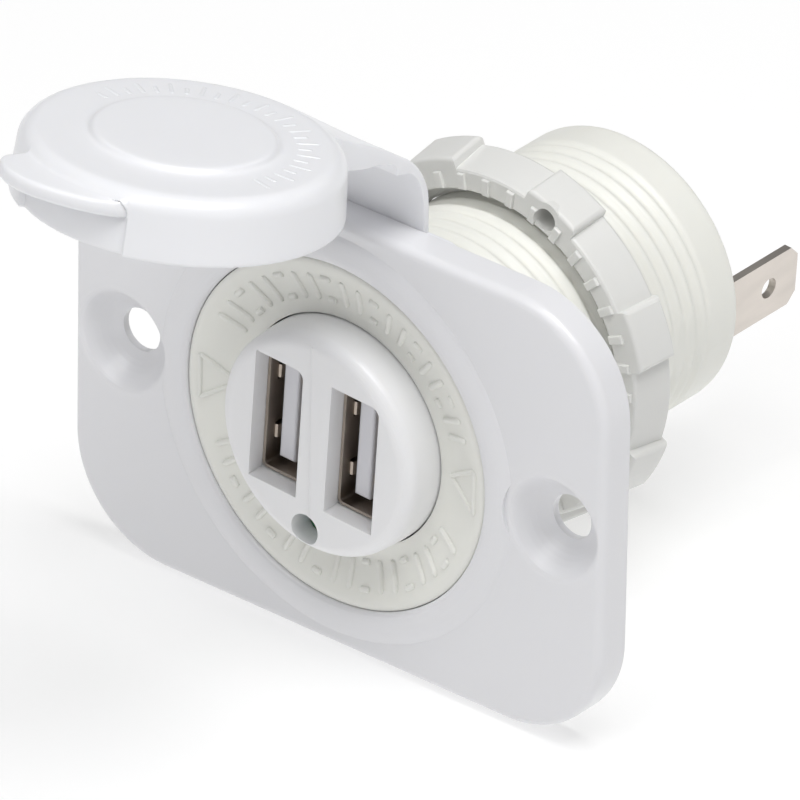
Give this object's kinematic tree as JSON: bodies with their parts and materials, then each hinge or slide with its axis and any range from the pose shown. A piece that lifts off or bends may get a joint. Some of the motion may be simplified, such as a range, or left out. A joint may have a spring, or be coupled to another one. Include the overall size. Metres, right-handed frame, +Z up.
{
  "type": "car panel socket with dual usb ports",
  "caption": "Flush-mount car charging socket: rectangular faceplate with screw holes, round housing with USB ports, flip lid on a strap, threaded barrel with clamp nut and blade terminals.",
  "frame": {"origin": "barrel axis at the faceplate's rear plane, midway between the two screw holes", "axes": "+X to the right seen from the front, +Y to the rear along the barrel, +Z up towards the lid's strap"},
  "size_m": [0.064, 0.096, 0.0659],
  "materials": {
    "plate_plastic": "smooth glossy white",
    "lid_plastic": "smooth glossy white, flexible",
    "housing_plastic": "satin ivory white",
    "bezel_plastic": "satin white",
    "nut_plastic": "satin white",
    "plated_steel": "warm nickel plating",
    "insulator_plastic": "matte white",
    "contact_metal": "thin gold plating",
    "terminal_metal": "tinned, satin",
    "circuit_board": "solder mask",
    "lamp_plastic": "tinted clear",
    "ferrite": "sintered grey",
    "chip_black": "moulded",
    "chip_grey": "fired",
    "capacitor_can": "satin can"
  },
  "bodies": {
    "socket": {"mounting_plate": "plate_plastic", "lid_strap": "lid_plastic", "socket_housing": "housing_plastic", "port_bezel": "bezel_plastic", "usb_shell_left": "plated_steel", "usb_shell_right": "plated_steel", "usb_insulator_left": "insulator_plastic", "usb_insulator_right": "insulator_plastic", "usb_contacts_left": "contact_metal", "usb_contacts_right": "contact_metal", "port_board": "circuit_board", "converter_board": "circuit_board", "status_led": "lamp_plastic", "board_pins": "contact_metal", "power_inductor": "ferrite", "regulator_chip": "chip_black", "input_capacitor": "capacitor_can", "output_capacitor": "capacitor_can", "rectifier_diode": "chip_black", "chip_parts": "chip_grey", "rear_cap": "housing_plastic", "terminal_positive": "terminal_metal", "terminal_negative": "terminal_metal"},
    "lid": {"lid_cover": "lid_plastic", "lid_arm": "lid_plastic"},
    "nut": {"clamp_nut": "nut_plastic"}
  },
  "joints": [
    {"name": "lid_hinge", "type": "hinge", "parent": "socket", "child": "lid", "pos_m": [0, -0.00019, 0.02739], "axis": [1, 0, 0], "range_deg": [0, 99]},
    {"name": "nut_travel", "type": "slide", "parent": "socket", "child": "nut", "axis": [0, 1, 0], "range_m": [-0.01725, 0.011]}
  ]
}
